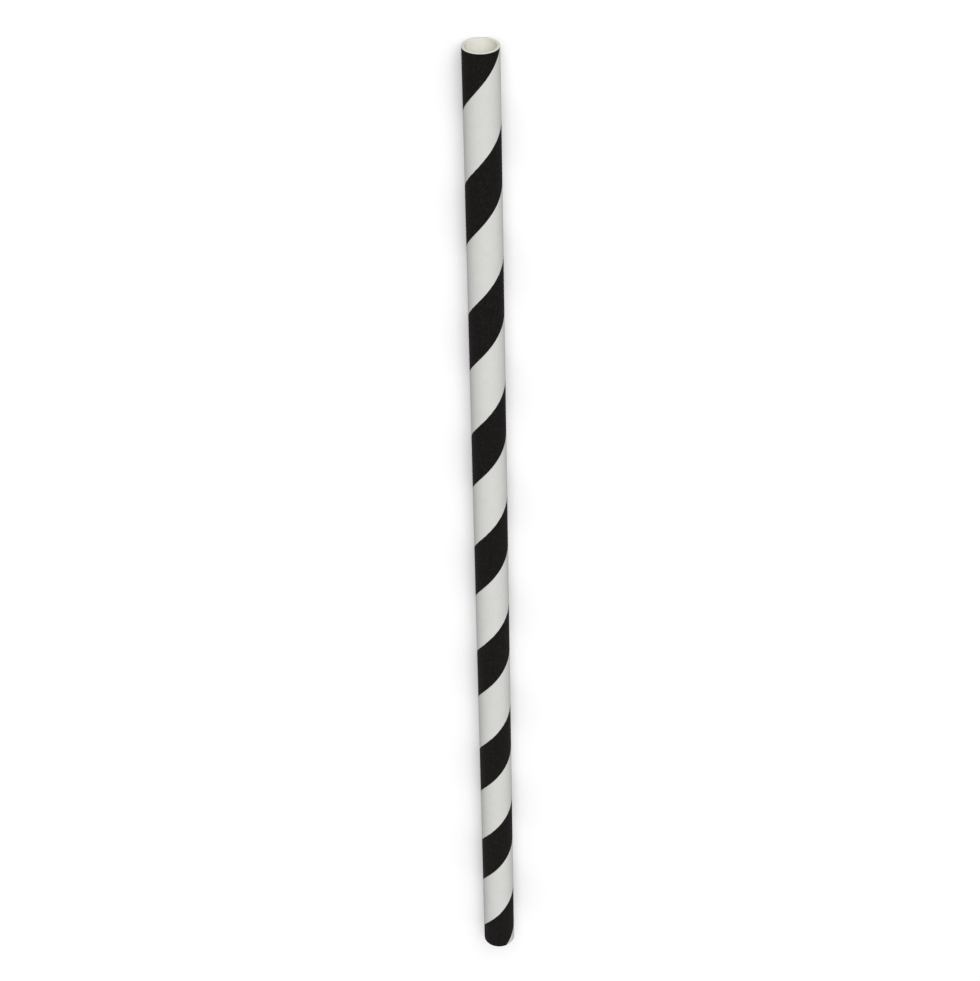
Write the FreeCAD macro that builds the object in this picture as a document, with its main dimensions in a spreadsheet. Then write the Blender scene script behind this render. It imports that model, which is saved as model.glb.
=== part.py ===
import FreeCAD, Part
import os
import Sketcher

# Paper drinking straw, lying on its side. Millimetres, +Z up, the axis along Y, the
# drinking end at +Y. The wall is three strips of paper wound in a right-hand spiral and
# glued into one tube, so the straw is a single solid. The outer strip meets itself in a
# fine butt seam that climbs the tube once per lead. The inner strip has the same seam on
# the bore, half a lead further on. Both ends are sheared off square.

NODE = "straw_tube"

# name, value in millimetres or a plain number, what it is
SIZES = [
    ("outer_dia", 6.0, "outside diameter"),
    ("ply_thick", 0.15, "thickness of one paper strip"),
    ("ply_count", 3, "strips in the wall"),
    ("tube_length", 197.0, "cut length"),
    ("wind_lead", 24.2, "advance of the spiral in one turn"),
    ("seam_gap", 0.12, "width of a butt seam, along the axis"),
    ("seam_clear", 0.2, "how far a seam cutter reaches past the wall"),
    ("seam_from_rim", 5.4, "drinking end to the first outer seam, on the upper side"),
    ("seam_turns", 8, "leads from that crossing back past the other end"),
]

doc = FreeCAD.newDocument("paper_straw")


def fill_sheet(document):
    """Write every size into a sheet, one row each, and name its cell."""
    sheet = document.addObject("Spreadsheet::Sheet", "sizes")
    for row, (name, value, note) in enumerate(SIZES, 1):
        sheet.set("A%d" % row, name)
        sheet.set("B%d" % row, str(value))
        sheet.set("C%d" % row, note)
        sheet.setAlias("B%d" % row, name)
    document.recompute()
    return sheet


def origin_plane(body, role):
    """Return the body's own origin plane with this role."""
    for feature in body.Origin.OriginFeatures:
        if feature.Role == role:
            return feature
    raise ValueError("no plane " + role)


def new_sketch(body, name, role):
    """Add a sketch lying flat on one of the body's origin planes."""
    sketch = body.newObject("Sketcher::SketchObject", name)
    sketch.AttachmentSupport = (origin_plane(body, role), [""])
    sketch.MapMode = "FlatFace"
    return sketch


def bound_constraint(sketch, name, formula, *args):
    """Add a driving constraint, name it and bind it to the sheet."""
    index = sketch.addConstraint(Sketcher.Constraint(*args))
    sketch.renameConstraint(index, name)
    sketch.setExpression("Constraints." + name, formula)


def add_ring(sketch, name, formula):
    """Add a circle about the sketch origin with a bound diameter."""
    centre = FreeCAD.Vector(0, 0, 0)
    circle = sketch.addGeometry(Part.Circle(centre, FreeCAD.Vector(0, 0, 1), 1), False)
    sketch.addConstraint(Sketcher.Constraint("Coincident", circle, 3, -1, 1))
    bound_constraint(sketch, name, formula, "Diameter", circle, 1)


def add_notch(sketch, inner, outer, start):
    """Draw the seam's section on the upper side: two heights and its start are formulas.

    The sketch's X is the length of the straw and its Y is the height above the axis.
    """
    lines = []
    corners = [(-2, 1), (-1, 1), (-1, 2), (-2, 2)]
    for i, corner in enumerate(corners):
        a = FreeCAD.Vector(corner[0], corner[1], 0)
        b = FreeCAD.Vector(*corners[(i + 1) % 4], 0)
        lines.append(sketch.addGeometry(Part.LineSegment(a, b), False))
    for i in range(4):
        joint = Sketcher.Constraint("Coincident", lines[i], 2, lines[(i + 1) % 4], 1)
        sketch.addConstraint(joint)
    for i, kind in enumerate(["Horizontal", "Vertical", "Horizontal", "Vertical"]):
        sketch.addConstraint(Sketcher.Constraint(kind, lines[i]))
    bound_constraint(sketch, "inner", inner, "DistanceY", -1, 1, lines[0], 1, 1)
    bound_constraint(sketch, "outer", outer, "DistanceY", -1, 1, lines[2], 1, 2)
    bound_constraint(sketch, "gap", "sizes.seam_gap", "DistanceX", lines[0], 1, lines[0], 2, 1)
    bound_constraint(sketch, "start", start, "DistanceX", lines[0], 1, -1, 1, 2)


def wind_seam(body, name, inner, outer, start, turns):
    """Cut one helical butt seam, right-handed about the straw's axis."""
    sketch = new_sketch(body, name + "_section", "YZ_Plane")
    add_notch(sketch, inner, outer, start)
    seam = body.newObject("PartDesign::SubtractiveHelix", name)
    seam.Profile = sketch
    seam.ReferenceAxis = (sketch, ["H_Axis"])
    seam.Mode = "pitch-turns-angle"
    seam.LeftHanded = False
    seam.Reversed = False
    # each turn keeps faces of its own, so that the solid can be cut again later
    seam.Refine = False
    seam.setExpression("Pitch", "sizes.wind_lead")
    seam.setExpression("Turns", turns)
    return seam


fill_sheet(doc)
straw = doc.addObject("PartDesign::Body", "straw")
straw.Label = NODE

# the wall: a ring swept along Y, half of it to each side of the middle
ring = new_sketch(straw, "wall_section", "XZ_Plane")
add_ring(ring, "outside", "sizes.outer_dia")
add_ring(ring, "inside", "sizes.outer_dia - 2 * sizes.ply_count * sizes.ply_thick")
wall = straw.newObject("PartDesign::Pad", "wall")
wall.Profile = ring
wall.SideType = "Symmetric"
wall.Refine = False
wall.setExpression("Length", "sizes.tube_length")

# the seams: each is one strip deep and runs out past both ends
FAR_START = "sizes.seam_turns * sizes.wind_lead + sizes.seam_from_rim - sizes.tube_length / 2"
wind_seam(
    straw,
    "outer_seam",
    "sizes.outer_dia / 2 - sizes.ply_thick",
    "sizes.outer_dia / 2 + sizes.seam_clear",
    FAR_START,
    "sizes.seam_turns + 0.5",
)
wind_seam(
    straw,
    "inner_seam",
    "sizes.outer_dia / 2 - sizes.ply_count * sizes.ply_thick - sizes.seam_clear",
    "sizes.outer_dia / 2 - (sizes.ply_count - 1) * sizes.ply_thick",
    FAR_START + " + sizes.wind_lead / 2",
    "sizes.seam_turns + 1",
)

# the straw rests on z = 0
straw.setExpression(".Placement.Base.z", "sizes.outer_dia / 2")

doc.recompute()

for item in doc.Objects:
    if "Invalid" in item.State or "Error" in item.State:
        raise RuntimeError(item.Name + " " + str(item.State))
    if hasattr(item, "Shape") and item.TypeId.startswith("PartDesign"):
        if item.Shape.isNull() or not item.Shape.isValid():
            raise RuntimeError("bad shape " + item.Name)
if len(straw.Shape.Solids) != 1:
    raise RuntimeError("the straw is not one solid")

os.makedirs("parts", exist_ok=True)
straw.Shape.exportStep("parts/" + NODE + ".step")
box = straw.Shape.BoundBox
print(NODE, "volume", round(straw.Shape.Volume, 3), "faces", len(straw.Shape.Faces))
print("box", box.XMin, box.XMax, box.YMin, box.YMax, box.ZMin, box.ZMax)
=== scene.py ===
import logging
import math
from dataclasses import dataclass, field
from enum import Enum, IntEnum
from typing import Any, Callable, Dict, List, Optional, Sequence, Tuple

import bmesh
import bpy
from mathutils import Matrix, Vector, noise


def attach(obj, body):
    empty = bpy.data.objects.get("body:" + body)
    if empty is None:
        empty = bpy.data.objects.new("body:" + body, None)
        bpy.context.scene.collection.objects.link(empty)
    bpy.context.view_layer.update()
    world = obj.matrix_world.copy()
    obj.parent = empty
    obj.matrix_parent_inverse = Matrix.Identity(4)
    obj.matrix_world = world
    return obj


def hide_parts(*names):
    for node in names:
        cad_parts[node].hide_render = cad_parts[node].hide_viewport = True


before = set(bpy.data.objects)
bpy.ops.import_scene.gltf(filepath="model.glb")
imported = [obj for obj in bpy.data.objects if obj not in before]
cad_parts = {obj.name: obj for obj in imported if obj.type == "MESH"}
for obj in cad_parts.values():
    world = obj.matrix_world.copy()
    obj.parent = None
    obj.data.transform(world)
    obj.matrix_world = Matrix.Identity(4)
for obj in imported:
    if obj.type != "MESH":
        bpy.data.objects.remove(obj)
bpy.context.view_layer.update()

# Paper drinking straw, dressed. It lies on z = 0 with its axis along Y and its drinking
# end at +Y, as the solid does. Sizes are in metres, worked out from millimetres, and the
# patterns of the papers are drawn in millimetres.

MM = 0.001
TURN = 2 * math.pi
PAPER_IOR = 1.47
LOG = logging.getLogger("straw")

Socket = bpy.types.NodeSocket
Tree = bpy.types.NodeTree
Colour = Tuple[float, float, float, float]
Pair = Tuple[float, float]
Inputs = Tuple[Dict[Any, Socket], Dict[Any, Any]]


def linear(hex_code: str) -> Colour:
    """Turn an sRGB hex colour into linear light.

    Args:
        hex_code: six hex digits, such as "d9d9d6".

    Returns:
        Red, green, blue and an alpha of 1.
    """
    channels = [int(hex_code[i:i + 2], 16) / 255 for i in (0, 2, 4)]
    light = [c / 12.92 if c <= 0.04045 else ((c + 0.055) / 1.055) ** 2.4 for c in channels]
    return (light[0], light[1], light[2], 1.0)


def node(tree: Tree, kind: str, links: Optional[Dict[Any, Socket]] = None,
         values: Optional[Dict[Any, Any]] = None, **settings: Any) -> bpy.types.Node:
    """Add one shader node with its settings, fixed values and links.

    Args:
        tree: the node tree that gets the node.
        kind: the node's type, such as "ShaderNodeMath".
        links: input name or number to the output that feeds it.
        values: input name or number to its fixed value.
        settings: attributes of the node itself, such as operation.

    Returns:
        The new node.
    """
    made = tree.nodes.new(kind)
    for name, value in settings.items():
        setattr(made, name, value)
    for name, value in (values or {}).items():
        made.inputs[name].default_value = value
    for name, source in (links or {}).items():
        tree.links.new(source, made.inputs[name])
    return made


def math_node(tree: Tree, operation: str, *inputs: Any) -> Socket:
    """Work out one number from sockets and plain numbers.

    Args:
        tree: the node tree.
        operation: the Math node's operation.
        inputs: up to three sockets or numbers, in order.

    Returns:
        The value socket.
    """
    links = {i: v for i, v in enumerate(inputs) if isinstance(v, Socket)}
    values = {i: v for i, v in enumerate(inputs) if not isinstance(v, Socket)}
    return node(tree, "ShaderNodeMath", links, values, operation=operation).outputs[0]


def ramp(tree: Tree, value: Socket, reach: Pair, results: Pair, eased: bool = False) -> Socket:
    """Change from one number to another while a value crosses a range.

    Args:
        tree: the node tree.
        value: the value that drives the change.
        reach: the values at which the change starts and ends.
        results: the numbers before and after the change.
        eased: whether the change starts and ends softly.

    Returns:
        The number.
    """
    values = {"From Min": reach[0], "From Max": reach[1],
              "To Min": results[0], "To Max": results[1]}
    return node(tree, "ShaderNodeMapRange", {"Value": value}, values,
                interpolation_type="SMOOTHSTEP" if eased else "LINEAR").outputs[0]


def blend(tree: Tree, share: Socket, under: str, over: str) -> Socket:
    """Lay one sRGB hex colour over another by a share from 0 to 1."""
    return node(tree, "ShaderNodeMix", {0: share}, {6: linear(under), 7: linear(over)},
                data_type="RGBA").outputs[2]


def scaled(tree: Tree, colour: Socket, factor: Socket) -> Socket:
    """Lighten or darken a colour by a factor."""
    return node(tree, "ShaderNodeVectorMath", {0: colour, "Scale": factor},
                operation="SCALE").outputs[0]


def bumped(tree: Tree, height: Socket, relief: float, strength: float = 1.0) -> Socket:
    """Turn a height pattern into a normal, with its relief in metres."""
    return node(tree, "ShaderNodeBump", {"Height": height},
                {"Strength": strength, "Distance": relief}).outputs[0]


class Region(IntEnum):
    """The straw's three kinds of surface, in the order of its material slots."""

    PRINTED = 0
    BARE = 1
    CUT_END = 2


class Ink(Enum):
    """The two fields of the print, as sRGB hex."""

    BLACK = "151111"
    PAPER = "dbdbd8"


@dataclass(frozen=True)
class Winding:
    """The spiral that the paper strips follow about the straw's axis.

    Attributes:
        radius: outside radius.
        lead: advance in one turn, right-handed about +Y.
        seam_y: where the middle of the outer seam crosses the straw's upper side.
        axis_z: height of the axis above the floor.
        gap_share: width of a butt seam, as a share of the lead.
        skin: how far a point may lie off a surface and still count as on it.
    """

    radius: float
    lead: float
    seam_y: float
    axis_z: float
    gap_share: float
    skin: float = 0.02 * MM

    @property
    def pitch_angle(self) -> float:
        """Angle of a strip away from the straw's axis."""
        return math.atan2(TURN * self.radius, self.lead)

    @property
    def strip_width(self) -> float:
        """Width of a strip, square to its edges."""
        return self.lead * math.sin(self.pitch_angle)

    def axis_distance(self, place: Vector) -> float:
        """Distance of a point from the straw's axis."""
        return math.hypot(place.x, place.z - self.axis_z)

    def phase(self, place: Vector) -> float:
        """Leads from the seam to a point, counted along the axis."""
        angle = math.atan2(place.x, place.z - self.axis_z)
        return (place.y - self.seam_y) / self.lead - angle / TURN

    def strip_coordinates(self, tree: Tree) -> Tuple[Socket, Socket]:
        """Work out where a point lies on the unrolled strip.

        Args:
            tree: the node tree.

        Returns:
            The share of the lead above the seam, from 0 to 1, and the distance
            along the strip in millimetres, which runs on from turn to turn.
        """
        place = node(tree, "ShaderNodeTexCoord").outputs["Object"]
        axes = node(tree, "ShaderNodeSeparateXYZ", {0: place}).outputs
        height = math_node(tree, "SUBTRACT", axes[2], self.axis_z)
        angle = math_node(tree, "ARCTAN2", axes[0], height)
        share = math_node(tree, "DIVIDE", angle, TURN)
        beyond_seam = math_node(tree, "SUBTRACT", axes[1], self.seam_y)
        leads = math_node(tree, "DIVIDE", beyond_seam, self.lead)
        phase = math_node(tree, "SUBTRACT", leads, share)
        turn = math_node(tree, "FLOOR", phase)
        across = math_node(tree, "FRACT", phase)
        unrolled = math_node(tree, "MULTIPLY_ADD", turn, TURN, angle)
        round_part = self.radius * math.sin(self.pitch_angle) / MM
        length_part = math.cos(self.pitch_angle) / MM
        lengthwise = math_node(tree, "MULTIPLY", axes[1], length_part)
        along = math_node(tree, "MULTIPLY_ADD", unrolled, round_part, lengthwise)
        return across, along


@dataclass(frozen=True)
class PaperFibre:
    """The cloud and the fibres that any bleached paper shows up close.

    Attributes:
        cloud: size of the thick and thin patches of the sheet.
        fibre_width: width of a fibre, drawn about four times too coarse so that
            it shows at all in a picture of the whole straw.
        fibre_length: length of a fibre, which lies along the strip.
        waviness: how far the fibres wander.
        depth: how far the patches and fibres lighten or darken the paper.
        relief: height of the fibres.
    """

    cloud: float = 2.2 * MM
    fibre_width: float = 0.11 * MM
    fibre_length: float = 0.8 * MM
    waviness: float = 0.6
    depth: float = 0.035
    relief: float = 0.006 * MM

    def patterns(self, tree: Tree, across: Socket, along: Socket) -> Tuple[Socket, Socket]:
        """Draw the sheet's cloud and its fibres.

        Args:
            tree: the node tree.
            across: distance across the strip in millimetres.
            along: distance along the strip in millimetres.

        Returns:
            The cloud and the fibres, each about 0.5 with a range from 0 to 1.
        """
        sheet = node(tree, "ShaderNodeCombineXYZ", {0: across, 1: along}).outputs[0]
        cloud = node(tree, "ShaderNodeTexNoise", {"Vector": sheet},
                     {"Scale": MM / self.cloud, "Detail": 3.0}, noise_dimensions="2D")
        fibre_scale = (MM / self.fibre_width, MM / self.fibre_length, 1.0)
        lay = node(tree, "ShaderNodeVectorMath", {0: sheet}, {1: fibre_scale},
                   operation="MULTIPLY").outputs[0]
        fibres = node(tree, "ShaderNodeTexNoise", {"Vector": lay},
                      {"Scale": 1.0, "Detail": 2.0, "Distortion": self.waviness},
                      noise_dimensions="2D")
        return cloud.outputs[0], fibres.outputs[0]

    def shade(self, tree: Tree, cloud: Socket, fibres: Socket) -> Socket:
        """Join cloud and fibres into one factor about 1 for a colour.

        Args:
            tree: the node tree.
            cloud: the cloud pattern.
            fibres: the fibre pattern.

        Returns:
            The factor.
        """
        both = math_node(tree, "ADD", cloud, fibres)
        return math_node(tree, "MULTIPLY_ADD", both, 2 * self.depth, 1 - 2 * self.depth)


def paper_inputs(colour: Socket, rough: Socket, normal: Socket, gloss: float) -> Inputs:
    """Give the shader inputs that every paper here has.

    Args:
        colour: the base colour.
        rough: the roughness.
        normal: the bumped normal.
        gloss: the strength of the reflection off the fibres.

    Returns:
        The shader's links and its fixed values.
    """
    links = {"Base Color": colour, "Roughness": rough, "Normal": normal}
    return links, {"IOR": PAPER_IOR, "Specular IOR Level": gloss}


def paper_material(name: str, fill: Callable[[Tree], Inputs]) -> bpy.types.Material:
    """Make a material whose nodes are laid by a function.

    Args:
        name: the material's name.
        fill: called with the node tree; returns the links and the fixed values of
            the shader.

    Returns:
        The material.
    """
    material = bpy.data.materials.new(name)
    material.use_nodes = True
    tree = material.node_tree
    tree.nodes.clear()
    links, values = fill(tree)
    shader = node(tree, "ShaderNodeBsdfPrincipled", links, values)
    node(tree, "ShaderNodeOutputMaterial", {"Surface": shader.outputs[0]})
    return material


@dataclass(frozen=True)
class PrintedPaper:
    """Outer strip: bleached kraft, printed by a rubber plate with water-based black.

    The eye gets a matt, slightly cloudy white, and a black a little smoother than
    the bare paper, whose edge wanders by a hair where the ink runs along fibres.

    Attributes:
        winding: the spiral that the print follows.
        fibre: the paper's own grain.
        ink_share: black part of the strip's width, from the seam.
        edge_wander: how far the print's edge strays.
        edge_blur: half the width over which the ink fades at that edge.
        proud: range of the fibre pattern over which paper shows through the ink.
        grin: how much of the paper shows there.
        paper_rough: roughness of the white.
        ink_rough: roughness of the black.
        rough_swing: roughness that the fibres add.
        gloss: strength of the reflection.
        hidden_seam: place of the middle strip's seam, as a share of the lead.
        hidden_width: how far the faint dip over that seam reaches to each side.
        hidden_relief: depth of that dip.
    """

    winding: Winding
    fibre: PaperFibre = PaperFibre()
    ink_share: float = 0.463
    edge_wander: float = 0.07 * MM
    edge_blur: float = 0.02 * MM
    proud: Pair = (0.5, 0.95)
    grin: float = 0.035
    paper_rough: float = 0.8
    ink_rough: float = 0.7
    rough_swing: float = 0.12
    gloss: float = 0.06
    hidden_seam: float = 0.74
    hidden_width: float = 0.35 * MM
    hidden_relief: float = 0.012 * MM

    def ink_mask(self, tree: Tree, across: Socket, fibres: Socket) -> Socket:
        """Draw the black band of each turn.

        Args:
            tree: the node tree.
            across: share of the lead above the seam.
            fibres: the fibre pattern, along which the ink strays.

        Returns:
            1 in the black, 0 in the white.
        """
        width = self.winding.strip_width / MM
        wander, blur = self.edge_wander / MM, self.edge_blur / MM
        stray = math_node(tree, "MULTIPLY_ADD", fibres, 2 * wander, -wander)
        place = math_node(tree, "MULTIPLY_ADD", across, width, stray)
        edge = self.ink_share * width
        return ramp(tree, place, (edge - blur, edge + blur), (1.0, 0.0), eased=True)

    def relief_pattern(self, tree: Tree, across: Socket, fibres: Socket) -> Socket:
        """Draw the fibres' height and the dip over the middle strip's seam.

        Args:
            tree: the node tree.
            across: share of the lead above the seam.
            fibres: the fibre pattern.

        Returns:
            The height, in which 1 stands for the relief of the fibres.
        """
        width = self.winding.strip_width / MM
        place = math_node(tree, "MULTIPLY_ADD", across, width, -self.hidden_seam * width)
        away = math_node(tree, "ABSOLUTE", place)
        dip = ramp(tree, away, (0.0, self.hidden_width / MM), (-1.0, 0.0), eased=True)
        return math_node(tree, "MULTIPLY_ADD", dip, self.hidden_relief / self.fibre.relief,
                         fibres)

    def fill(self, tree: Tree) -> Inputs:
        """Lay the nodes of the printed paper.

        Args:
            tree: the node tree.

        Returns:
            The shader's links and its fixed values.
        """
        across, along = self.winding.strip_coordinates(tree)
        millimetres = math_node(tree, "MULTIPLY", across, self.winding.strip_width / MM)
        cloud, fibres = self.fibre.patterns(tree, millimetres, along)
        ink = self.ink_mask(tree, across, fibres)
        # a little paper grins through the ink where fibres stand proud
        cover = math_node(tree, "MULTIPLY", ink,
                          ramp(tree, fibres, self.proud, (1.0, 1 - self.grin)))
        print_colour = blend(tree, cover, Ink.PAPER.value, Ink.BLACK.value)
        colour = scaled(tree, print_colour, self.fibre.shade(tree, cloud, fibres))
        smoothness = ramp(tree, ink, (0.0, 1.0), (self.paper_rough, self.ink_rough))
        rough = math_node(tree, "MULTIPLY_ADD", fibres, self.rough_swing, smoothness)
        height = self.relief_pattern(tree, across, fibres)
        normal = bumped(tree, height, self.fibre.relief)
        return paper_inputs(colour, rough, normal, self.gloss)


@dataclass(frozen=True)
class BarePaper:
    """Unprinted bleached kraft of the bore and the seams, a shade creamier.

    The eye gets a soft, warm, quite matt white that fills the open mouth.

    Attributes:
        winding: the spiral of the strip.
        fibre: the paper's own grain.
        colour: sRGB hex.
        rough: least roughness.
        rough_swing: roughness that the fibres add.
        gloss: strength of the reflection.
    """

    winding: Winding
    fibre: PaperFibre = PaperFibre()
    colour: str = "f2f0e8"
    rough: float = 0.72
    rough_swing: float = 0.15
    gloss: float = 0.2

    def fill(self, tree: Tree) -> Inputs:
        """Lay the nodes of the bare paper.

        Args:
            tree: the node tree.

        Returns:
            The shader's links and its fixed values.
        """
        across, along = self.winding.strip_coordinates(tree)
        millimetres = math_node(tree, "MULTIPLY", across, self.winding.strip_width / MM)
        cloud, fibres = self.fibre.patterns(tree, millimetres, along)
        base = node(tree, "ShaderNodeRGB")
        base.outputs[0].default_value = linear(self.colour)
        colour = scaled(tree, base.outputs[0], self.fibre.shade(tree, cloud, fibres))
        rough = math_node(tree, "MULTIPLY_ADD", fibres, self.rough_swing, self.rough)
        return paper_inputs(colour, rough, bumped(tree, fibres, self.fibre.relief), self.gloss)


@dataclass(frozen=True)
class CutPaper:
    """Sheared end of the wall: the edges of the strips with glue between them.

    The eye gets a warm white ring with two hair-fine darker lines.

    Attributes:
        winding: the spiral, for the radius and the axis.
        ply: thickness of a strip.
        plies: strips in the wall.
        colour: sRGB hex of the cut fibres.
        glue: sRGB hex of the dried glue.
        glue_width: width of a glue line.
        grain: size of the torn fibres' speckle.
        depth: how far the speckle lightens or darkens the edge.
        relief: height of the speckle.
        relief_strength: share of that height that is used.
        rough: least roughness.
        rough_swing: roughness that the speckle adds.
        gloss: strength of the reflection.
    """

    winding: Winding
    ply: float
    plies: int
    colour: str = "e3e0d6"
    glue: str = "b9b09c"
    glue_width: float = 0.022 * MM
    grain: float = 0.06 * MM
    depth: float = 0.08
    relief: float = 0.01 * MM
    relief_strength: float = 0.8
    rough: float = 0.78
    rough_swing: float = 0.15
    gloss: float = 0.2

    def ply_depth(self, tree: Tree, place: Socket) -> Socket:
        """Work out how deep in the wall a point lies.

        Args:
            tree: the node tree.
            place: the point.

        Returns:
            Its distance from the bore, counted in strips.
        """
        offset = node(tree, "ShaderNodeVectorMath", {0: place},
                      {1: (0.0, 0.0, self.winding.axis_z)}, operation="SUBTRACT").outputs[0]
        flat = node(tree, "ShaderNodeVectorMath", {0: offset}, {1: (1.0, 0.0, 1.0)},
                    operation="MULTIPLY").outputs[0]
        radius = node(tree, "ShaderNodeVectorMath", {0: flat}, operation="LENGTH").outputs[1]
        bore = self.winding.radius - self.plies * self.ply
        above_bore = math_node(tree, "SUBTRACT", radius, bore)
        return math_node(tree, "DIVIDE", above_bore, self.ply)

    def glue_line(self, tree: Tree, depth: Socket) -> Socket:
        """Draw a line of glue where two strips meet.

        Args:
            tree: the node tree.
            depth: distance from the bore, counted in strips.

        Returns:
            1 in the glue, 0 elsewhere.
        """
        away = math_node(tree, "PINGPONG", depth, 0.5)
        # the skin and the bore are at whole numbers too, but have no glue
        between = math_node(tree, "COMPARE", depth, self.plies / 2, self.plies / 2 - 0.5)
        edge = self.glue_width / self.ply / 2
        line = ramp(tree, away, (0.5 * edge, 1.5 * edge), (1.0, 0.0), eased=True)
        return math_node(tree, "MULTIPLY", line, between)

    def fill(self, tree: Tree) -> Inputs:
        """Lay the nodes of the cut edge.

        Args:
            tree: the node tree.

        Returns:
            The shader's links and its fixed values.
        """
        place = node(tree, "ShaderNodeTexCoord").outputs["Object"]
        speckle = node(tree, "ShaderNodeTexNoise", {"Vector": place},
                       {"Scale": 1 / self.grain, "Detail": 3.0}).outputs[0]
        line = self.glue_line(tree, self.ply_depth(tree, place))
        patchy_line = math_node(tree, "MULTIPLY", line, speckle)
        edge_colour = blend(tree, patchy_line, self.colour, self.glue)
        factor = math_node(tree, "MULTIPLY_ADD", speckle, 2 * self.depth, 1 - self.depth)
        colour = scaled(tree, edge_colour, factor)
        rough = math_node(tree, "MULTIPLY_ADD", speckle, self.rough_swing, self.rough)
        normal = bumped(tree, speckle, self.relief, self.relief_strength)
        return paper_inputs(colour, rough, normal, self.gloss)


@dataclass(frozen=True)
class TextureSheet:
    """Square sheet on which the unrolled wall lies flat, for a bake of its papers.

    The wall is cut into equal lengths, laid side by side: first the outside of each,
    then the bore. Above them lie the seams' floors and walls, drawn wider than they
    are, and beside these the two ends, one ring inside the other.

    Attributes:
        name: name of the UV map.
        winding: the spiral, along whose seams the wall is slit open.
        bore: radius of the bore.
        ply: thickness of a strip, which is the depth of a seam.
        length: length of the straw.
        parts: lengths that the wall is cut into.
        margin: free space round everything.
        groove: drawn width of a seam's floor or wall.
        groove_start: margins under the lowest groove, besides the wall's length.
        end_start: margins before and under the ends, besides the wall's length.
        end_scale: how many times too large the drinking end is drawn.
        end_nest: size of the other end, drawn inside the first, as a share of it.
    """

    name: str
    winding: Winding
    bore: float
    ply: float
    length: float
    parts: int = 3
    margin: float = 0.8 * MM
    groove: float = 0.8 * MM
    groove_start: int = 3
    end_start: int = 4
    end_scale: float = 6.0
    end_nest: float = 0.8

    @property
    def side(self) -> float:
        """Side of the sheet."""
        wall = TURN * (self.winding.radius + self.bore)
        return self.parts * wall + (2 * self.parts + 1) * self.margin

    @property
    def part_length(self) -> float:
        """Length of one part of the wall."""
        return self.length / self.parts

    def write(self, shape: bmesh.types.BMesh) -> None:
        """Lay every face of the straw on the sheet.

        Args:
            shape: the finished mesh, with its regions marked.
        """
        layer = shape.loops.layers.uv.new(self.name)
        for face in shape.faces:
            at_end = face.material_index == Region.CUT_END
            place = self.end_place if at_end else self.wall_place
            for loop in face.loops:
                across, up = place(face, loop.vert.co)
                loop[layer].uv = (across / self.side, up / self.side)

    def end_place(self, face: bmesh.types.BMFace, spot: Vector) -> Pair:
        """Lay a point of one of the ends on the sheet, seen flat on.

        Args:
            face: the face that the point belongs to.
            spot: the point.

        Returns:
            Its place across and up the sheet.
        """
        corner = self.part_length + self.end_start * self.margin
        middle = corner + self.winding.radius * self.end_scale
        nest = 1.0 if face.calc_center_median().y > 0 else self.end_nest
        scale = self.end_scale * nest
        return middle + spot.x * scale, middle + (spot.z - self.winding.axis_z) * scale

    def wall_place(self, face: bmesh.types.BMFace, spot: Vector) -> Pair:
        """Lay a point of the outside, of the bore or of a seam on the sheet.

        Args:
            face: the face that the point belongs to.
            spot: the point.

        Returns:
            Its place across and up the sheet.
        """
        winding, centre = self.winding, face.calc_center_median()
        part = min(int((centre.y + self.length / 2) / self.part_length), self.parts - 1)
        up = spot.y + self.length / 2 - part * self.part_length
        radii = [winding.axis_distance(v.co) for v in face.verts]
        outer_side = max(radii) > (winding.radius + self.bore) / 2
        # the outside is slit along its own seam, the bore half a lead further on
        slit = 0.0 if outer_side else 0.5
        middle = winding.phase(centre) - slit
        phase = winding.phase(spot) - slit
        # a point is counted in the same turn as its face
        phase -= round(phase - middle)
        wall = winding.radius if outer_side else self.bore
        if max(abs(r - wall) for r in radii) < winding.skin:
            outsides = self.parts * (TURN * winding.radius + self.margin)
            start = self.margin + (0.0 if outer_side else outsides)
            step = TURN * wall + self.margin
            unrolled = (phase - math.floor(middle)) * TURN * wall
            return start + part * step + unrolled, self.margin + up
        if max(radii) - min(radii) < winding.skin:
            # the floor of a seam
            across, kind = (phase - round(middle)) / winding.gap_share + 0.5, 0
        else:
            # one of the two walls of a seam
            floor = winding.radius - self.ply if outer_side else self.bore
            across = (winding.axis_distance(spot) - floor) / self.ply
            kind = 1 if middle > round(middle) else 2
        row = (part * 2 + int(outer_side)) * 3 + kind
        base = self.part_length + self.groove_start * self.margin
        height = base + row * (self.groove + self.margin)
        return self.margin + up, height + across * self.groove


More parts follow.
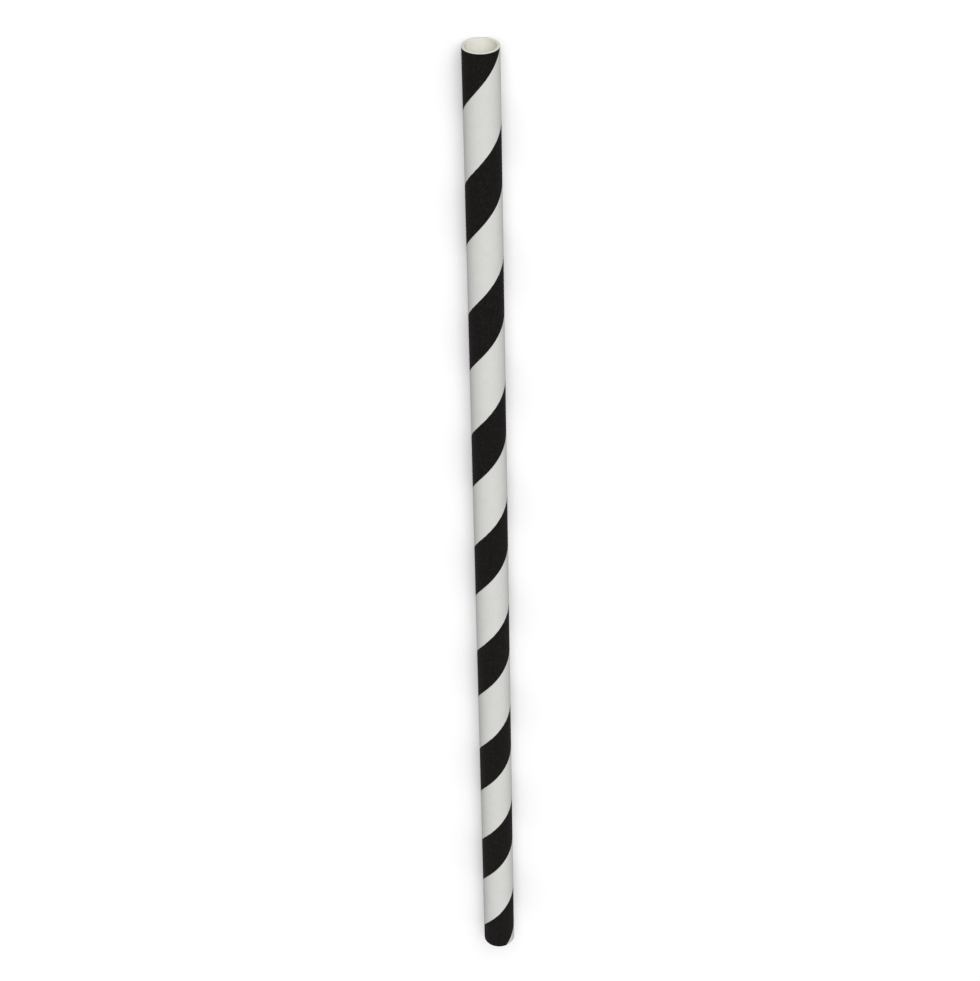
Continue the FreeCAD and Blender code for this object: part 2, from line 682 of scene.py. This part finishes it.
@dataclass
class WoundTube:
    """The straw: three paper strips wound and glued into one thin wall.

    Attributes:
        name: the piece's name.
        radius: outside radius.
        ply: thickness of a strip.
        plies: strips in the wall.
        length: cut length.
        lead: advance of the spiral in one turn.
        seam_gap: width of a butt seam, along the axis.
        seam_from_rim: drinking end to the first outer seam, on the upper side.
        rings: places of a strip's edge, shoulders and middle, as shares of its
            thickness; the next strip's edge closes it.
        crown: how far the edges of a cut strip lie below its middle.
        crown_power: how suddenly a cut strip falls away towards its edges.
        tear: height of the torn fibres, as a share of the crown.
        tear_size: size of the torn fibres' lumps.
        weld: distance within which two vertices become one.
        crisp: angle between faces from which an edge stays crisp.
        columns: faces round half the wall.
        rows: faces along the wall.
    """

    name: str = "straw_wound"
    radius: float = 3.0 * MM
    ply: float = 0.15 * MM
    plies: int = 3
    length: float = 197.0 * MM
    lead: float = 24.2 * MM
    seam_gap: float = 0.12 * MM
    seam_from_rim: float = 5.4 * MM
    rings: Tuple[float, ...] = (0.0, 0.2, 0.5, 0.8)
    crown: float = 0.025 * MM
    crown_power: float = 2.5
    tear: float = 0.35
    tear_size: float = 0.25 * MM
    weld: float = 0.002 * MM
    crisp: float = math.radians(40)
    columns: int = 44
    rows: int = 270
    winding: Winding = field(init=False)

    def __post_init__(self) -> None:
        """Set the spiral out from the sizes."""
        middle = self.length / 2 - self.seam_from_rim + self.seam_gap / 2
        self.winding = Winding(radius=self.radius, lead=self.lead, seam_y=middle,
                               axis_z=self.radius, gap_share=self.seam_gap / self.lead)

    @property
    def inner_radius(self) -> float:
        """Radius of the bore."""
        return self.radius - self.plies * self.ply

    def face_distance(self, face: bmesh.types.BMFace) -> float:
        """Distance of a face's middle from the straw's axis."""
        return self.winding.axis_distance(face.calc_center_median())

    def build(self) -> bpy.types.Object:
        """Model the straw as one closed mesh.

        Returns:
            The straw's object, at the origin.
        """
        shape = bmesh.new()
        self.lay_section(shape)
        self.wind_wall(shape)
        self.crown_ends(shape)
        bmesh.ops.recalc_face_normals(shape, faces=shape.faces[:])
        self.mark_regions(shape)
        sheet = TextureSheet("OFBake", self.winding, self.inner_radius, self.ply, self.length)
        sheet.write(shape)
        mesh = bpy.data.meshes.new(self.name)
        shape.to_mesh(mesh)
        shape.free()
        straw = bpy.data.objects.new(self.name, mesh)
        bpy.context.scene.collection.objects.link(straw)
        return straw

    def ring_radii(self) -> List[float]:
        """Radii of the section's rings, from the bore to the outside."""
        steps = [i + share for i in range(self.plies) for share in self.rings]
        return [self.inner_radius + step * self.ply for step in steps] + [self.radius]

    def lay_section(self, shape: bmesh.types.BMesh) -> None:
        """Lay the wall's flat section at the far end, with both seams left open.

        Args:
            shape: the mesh to fill.
        """
        far = -self.length / 2
        gap = TURN * self.seam_gap / self.lead
        seam = TURN * (far - self.winding.seam_y) / self.lead + gap / 2
        line = [shape.verts.new((0.0, far, self.winding.axis_z + r)) for r in self.ring_radii()]
        geometry: List[Any] = line + [shape.edges.new(pair) for pair in zip(line, line[1:])]
        centre = Vector((0.0, 0.0, self.winding.axis_z))
        self.turn_about_axis(shape, line, seam - gap)
        # the outer seam, half the wall, the inner seam, the other half
        arcs = [(gap, 1), (math.pi - gap, self.columns), (gap, 1), (math.pi - gap, self.columns)]
        made: List[List[bmesh.types.BMFace]] = []
        for angle, steps in arcs:
            before = set(shape.faces)
            turned = bmesh.ops.spin(shape, geom=geometry, cent=centre, axis=(0.0, 1.0, 0.0),
                                    angle=angle, steps=steps)
            geometry = turned["geom_last"]
            made.append([f for f in shape.faces if f not in before])
        outer_floor, inner_floor = self.radius - self.ply, self.inner_radius + self.ply
        outer = [f for f in made[0] if self.face_distance(f) > outer_floor]
        inner = [f for f in made[2] if self.face_distance(f) < inner_floor]
        bmesh.ops.delete(shape, geom=outer + inner, context="FACES")
        bmesh.ops.remove_doubles(shape, verts=shape.verts[:], dist=self.weld)

    def turn_about_axis(self, shape: bmesh.types.BMesh, verts: Sequence[bmesh.types.BMVert],
                        angle: float) -> None:
        """Turn vertices about the straw's axis, from +Z towards +X.

        Args:
            shape: the mesh.
            verts: the vertices.
            angle: the angle.
        """
        bmesh.ops.rotate(shape, verts=list(verts), cent=(0.0, 0.0, self.winding.axis_z),
                         matrix=Matrix.Rotation(angle, 3, "Y"))

    def wind_wall(self, shape: bmesh.types.BMesh) -> None:
        """Wind the section along the straw: it turns once per lead.

        Args:
            shape: the mesh that holds the section.
        """
        section: List[Any] = shape.verts[:] + shape.edges[:] + shape.faces[:]
        bmesh.ops.spin(shape, geom=section, cent=(0.0, 0.0, self.winding.axis_z),
                       axis=(0.0, 1.0, 0.0), dvec=(0.0, self.length / self.rows, 0.0),
                       angle=TURN * self.length / self.lead, steps=self.rows)

    def crown_ends(self, shape: bmesh.types.BMesh) -> None:
        """Round the cut edge of each strip a little and make it fibrous.

        Args:
            shape: the wound mesh.
        """
        for vert in shape.verts:
            if abs(abs(vert.co.y) - self.length / 2) > self.winding.skin:
                continue
            depth = (self.winding.axis_distance(vert.co) - self.inner_radius) / self.ply
            drop = (2 * abs(depth % 1.0 - 0.5)) ** self.crown_power
            torn = 0.5 + 0.5 * noise.noise(vert.co / self.tear_size)
            fall = self.crown * (drop + self.tear * torn)
            vert.co.y -= math.copysign(fall, vert.co.y)

    def mark_regions(self, shape: bmesh.types.BMesh) -> None:
        """Give each face its finish and set which edges stay crisp.

        Args:
            shape: the finished mesh.
        """
        skin = self.radius - self.winding.skin
        # no crowned or torn edge lies this deep
        end = self.length / 2 - 4 * self.crown
        for face in shape.faces:
            face.smooth = True
            faces_out = abs(face.normal.y) > 0.5
            if faces_out and min(abs(v.co.y) for v in face.verts) > end:
                face.material_index = Region.CUT_END
            elif min(self.winding.axis_distance(v.co) for v in face.verts) < skin:
                face.material_index = Region.BARE
            else:
                face.material_index = Region.PRINTED
        for edge in shape.edges:
            edge.smooth = len(edge.link_faces) == 2 and edge.calc_face_angle() < self.crisp

    def dress(self, straw: bpy.types.Object) -> None:
        """Put the three papers on the straw.

        Args:
            straw: the straw's object.
        """
        outside = PrintedPaper(self.winding)
        inside = BarePaper(self.winding)
        ends = CutPaper(self.winding, self.ply, self.plies)
        finishes = {
            Region.PRINTED: paper_material("printed_kraft_paper", outside.fill),
            Region.BARE: paper_material("bare_kraft_paper", inside.fill),
            Region.CUT_END: paper_material("sheared_paper_edge", ends.fill),
        }
        for region in Region:
            straw.data.materials.append(finishes[region])


@dataclass
class Studio:
    """Plain white floor, one soft lamp, an even world, and the camera.

    Attributes:
        eye: the camera's place, beyond the drinking end and above.
        aim: angle of the view away from straight down, towards the far end.
        roll: lean of the straw in the picture, its top to the left.
        lens: focal length in millimetres.
        sensor: width of the camera's picture in millimetres.
        near: distance from which the camera sees.
        ambient: brightness of the world for everything but the camera.
        key_power: power of the lamp in watts.
        key_place: place of the lamp.
        key_size: side of the lamp.
        white: sRGB hex of the floor and the world, as the camera sees them.
        floor_reach: how far the floor reaches from the straw to each side.
        floor_lift: light that the floor itself adds for the camera, so that it is white.
        floor_bounce: sRGB hex of the floor as it lights the straw's sides.
    """

    eye: Tuple[float, float, float] = (0.0, 253.1 * MM, 324.3 * MM)
    aim: float = math.radians(36.64)
    roll: float = math.radians(1.2)
    lens: float = 84.5
    sensor: float = 36.0
    near: float = 10.0 * MM
    ambient: float = 0.48
    key_power: float = 168.0
    key_place: Tuple[float, float, float] = (0.4, 3.2, 3.2)
    key_size: float = 4.0
    white: str = "ffffff"
    floor_reach: float = 4.0
    floor_lift: float = 0.1
    floor_bounce: str = "949492"

    def build(self) -> None:
        """Set up the floor, the light and the camera."""
        self.lay_floor()
        self.light_world()
        self.hang_lamp()
        self.place_camera()

    def seen_directly(self, tree: Tree) -> Socket:
        """Tell what the camera sees, also in a gloss, from what lights the straw.

        Args:
            tree: the node tree.

        Returns:
            1 for such rays, 0 for the others.
        """
        path = node(tree, "ShaderNodeLightPath").outputs
        seen = math_node(tree, "MAXIMUM", path["Is Camera Ray"], path["Is Glossy Ray"])
        return math_node(tree, "MAXIMUM", seen, path["Is Transmission Ray"])

    def floor_material(self) -> bpy.types.Material:
        """Make the floor's matt card.

        The eye gets a plain white that still takes the straw's soft shadow, and the
        straw's sides get less light from it than from a white card.

        Returns:
            The material.
        """
        material = bpy.data.materials.new("seamless_paper_sheet")
        material.use_nodes = True
        tree = material.node_tree
        tree.nodes.clear()
        lit = node(tree, "ShaderNodeBsdfDiffuse", values={"Color": linear(self.white)})
        lift = node(tree, "ShaderNodeEmission", values={"Strength": self.floor_lift})
        white = node(tree, "ShaderNodeAddShader", {0: lit.outputs[0], 1: lift.outputs[0]})
        grey = node(tree, "ShaderNodeBsdfDiffuse", values={"Color": linear(self.floor_bounce)})
        both = node(tree, "ShaderNodeMixShader",
                    {0: self.seen_directly(tree), 1: grey.outputs[0], 2: white.outputs[0]})
        node(tree, "ShaderNodeOutputMaterial", {"Surface": both.outputs[0]})
        return material

    def lay_floor(self) -> None:
        """Lay the floor under the straw."""
        shape = bmesh.new()
        bmesh.ops.create_grid(shape, x_segments=1, y_segments=1, size=self.floor_reach)
        mesh = bpy.data.meshes.new("floor")
        shape.to_mesh(mesh)
        shape.free()
        mesh.materials.append(self.floor_material())
        floor = bpy.data.objects.new("floor", mesh)
        bpy.context.scene.collection.objects.link(floor)

    def light_world(self) -> None:
        """Light the straw evenly from all round, and show white behind it."""
        world = bpy.data.worlds.new("even_white")
        world.use_nodes = True
        tree = world.node_tree
        tree.nodes.clear()
        level = ramp(tree, self.seen_directly(tree), (0.0, 1.0), (self.ambient, 1.0))
        light = node(tree, "ShaderNodeBackground", {"Strength": level},
                     {"Color": linear(self.white)})
        node(tree, "ShaderNodeOutputWorld", {"Surface": light.outputs[0]})
        bpy.context.scene.world = world

    def hang_lamp(self) -> None:
        """Hang the square soft lamp, facing the straw."""
        lamp = bpy.data.lights.new("key_lamp", "AREA")
        lamp.shape = "SQUARE"
        lamp.size = self.key_size
        lamp.energy = self.key_power
        holder = bpy.data.objects.new("key_lamp", lamp)
        holder.location = self.key_place
        holder.rotation_euler = (-Vector(self.key_place)).to_track_quat("-Z", "Y").to_euler()
        bpy.context.scene.collection.objects.link(holder)

    def place_camera(self) -> None:
        """Look along the straw from above its drinking end, as the photograph does."""
        camera = bpy.data.cameras.new("camera")
        camera.lens = self.lens
        camera.sensor_width = self.sensor
        camera.clip_start = self.near
        holder = bpy.data.objects.new("camera", camera)
        holder.location = self.eye
        holder.rotation_mode = "XYZ"
        turn = Matrix.Rotation(-self.aim, 4, "X") @ Matrix.Rotation(-self.roll, 4, "Z")
        holder.rotation_euler = turn.to_euler()
        bpy.context.scene.collection.objects.link(holder)
        bpy.context.scene.camera = holder


def main() -> None:
    """Build, dress and place everything, and report each piece."""
    logging.basicConfig(level=logging.INFO, format="%(name)s: %(message)s")
    tube = WoundTube()
    straw = tube.build()
    tube.dress(straw)
    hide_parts("straw_tube")
    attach(straw, "root")
    LOG.info("%s: %d faces", straw.name, len(straw.data.polygons))
    Studio().build()
    bpy.context.scene.view_settings.view_transform = "Standard"
    LOG.info("studio: floor, world, lamp and camera")


if __name__ == "__main__":
    main()
